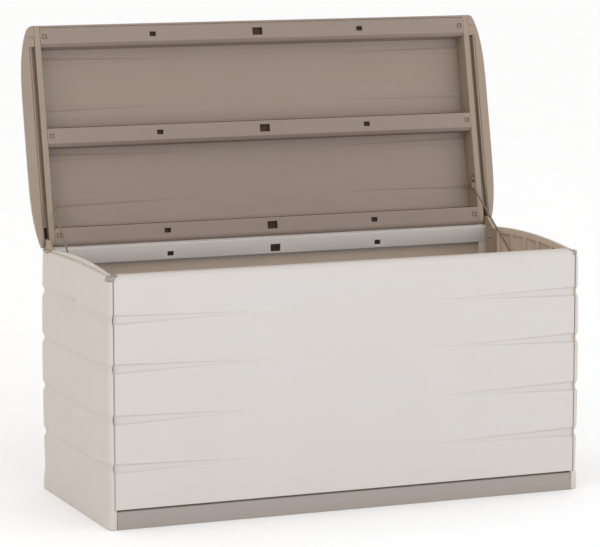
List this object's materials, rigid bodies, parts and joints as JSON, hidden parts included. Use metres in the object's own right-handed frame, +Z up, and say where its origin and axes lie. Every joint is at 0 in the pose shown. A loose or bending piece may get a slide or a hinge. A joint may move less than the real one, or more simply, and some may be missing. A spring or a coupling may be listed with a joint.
{
  "type": "deck storage box",
  "caption": "Resin deck storage box: walls snapped onto a floor tray, and a hinged lid with hollow beams held open by two cord stays.",
  "frame": {"origin": "on the ground, centre of the body's footprint", "axes": "+X to the right along the width, +Y to the rear where the lid hinges, +Z up; the lid is stored open"},
  "size_m": [1.222, 0.6495, 1.1069],
  "materials": {
    "body_resin": "satin, pale warm grey with a fine moulded grain",
    "lid_resin": "satin, taupe with a fine moulded grain",
    "trim_resin": "satin, grey taupe",
    "cord_nylon": "braided cord, dark brown",
    "screw_steel": "zinc plated"
  },
  "bodies": {
    "body": {"floor_panel": "trim_resin", "front_panel": "body_resin", "back_panel": "body_resin", "right_side_panel": "body_resin", "left_side_panel": "body_resin", "right_front_cap": "trim_resin", "left_front_cap": "trim_resin", "right_hinge_bracket": "trim_resin", "left_hinge_bracket": "trim_resin", "right_hinge_screw_upper": "screw_steel", "left_hinge_screw_upper": "screw_steel", "right_hinge_screw_lower": "screw_steel", "left_hinge_screw_lower": "screw_steel", "right_stay_anchor": "trim_resin", "left_stay_anchor": "trim_resin", "right_anchor_screw": "screw_steel", "left_anchor_screw": "screw_steel", "right_stay_cord": "cord_nylon", "left_stay_cord": "cord_nylon"},
    "lid": {"lid_front_panel": "lid_resin", "lid_rear_panel": "lid_resin", "lid_front_beam": "lid_resin", "lid_mid_beam": "lid_resin", "lid_rear_beam": "lid_resin", "right_lid_cap": "lid_resin", "left_lid_cap": "lid_resin", "right_lid_corner": "lid_resin", "left_lid_corner": "lid_resin", "right_stay_clip": "trim_resin", "left_stay_clip": "trim_resin", "right_clip_screw": "screw_steel", "left_clip_screw": "screw_steel", "right_hinge_pin": "screw_steel", "left_hinge_pin": "screw_steel"}
  },
  "joints": [
    {"name": "lid_hinge", "type": "hinge", "parent": "body", "child": "lid", "pos_m": [0, 0.249, 0.595], "axis": [1, 0, 0], "range_deg": [0, 102], "deforming": ["right_stay_cord", "left_stay_cord"]}
  ]
}
